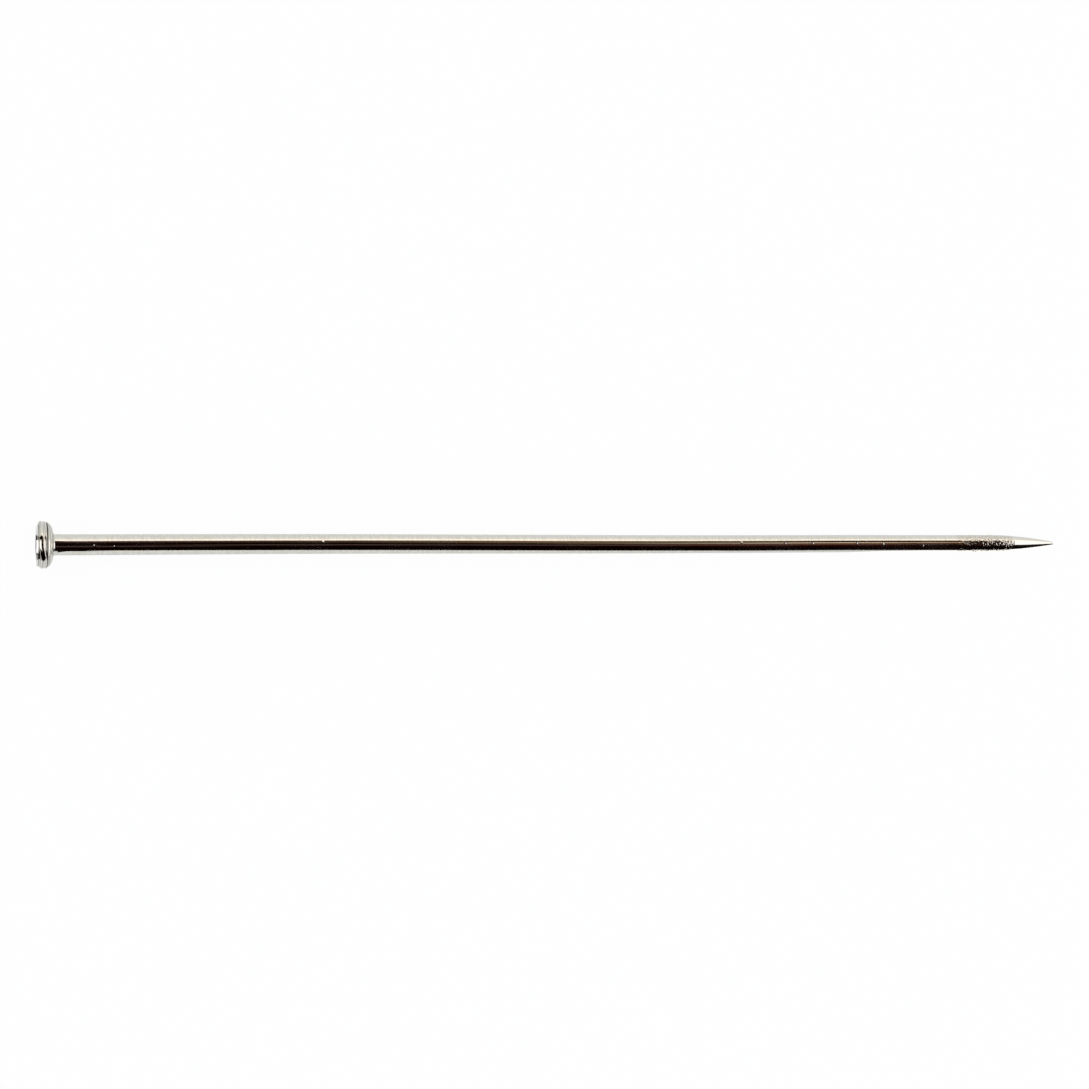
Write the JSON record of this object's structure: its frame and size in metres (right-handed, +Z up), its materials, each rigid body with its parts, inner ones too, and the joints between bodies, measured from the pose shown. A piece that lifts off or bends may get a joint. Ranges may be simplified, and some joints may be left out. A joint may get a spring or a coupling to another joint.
{
  "type": "straight pin",
  "caption": "Nickel-plated steel straight pin: slim drawn-wire shank with a long ground point and a small flat round head, used to hold layers of cloth together.",
  "frame": {"origin": "centre of the flat push face, the front of the wire where it is struck over in the head", "axes": "+X along the wire from head to point; +Z up with the pin lying on its side"},
  "size_m": [0.036, 0.0014, 0.0014],
  "materials": {
    "shank_nickel_plate": "gloss",
    "head_nickel_plate": "gloss"
  },
  "bodies": {
    "root": {"shank": "shank_nickel_plate", "head": "head_nickel_plate"}
  },
  "joints": []
}
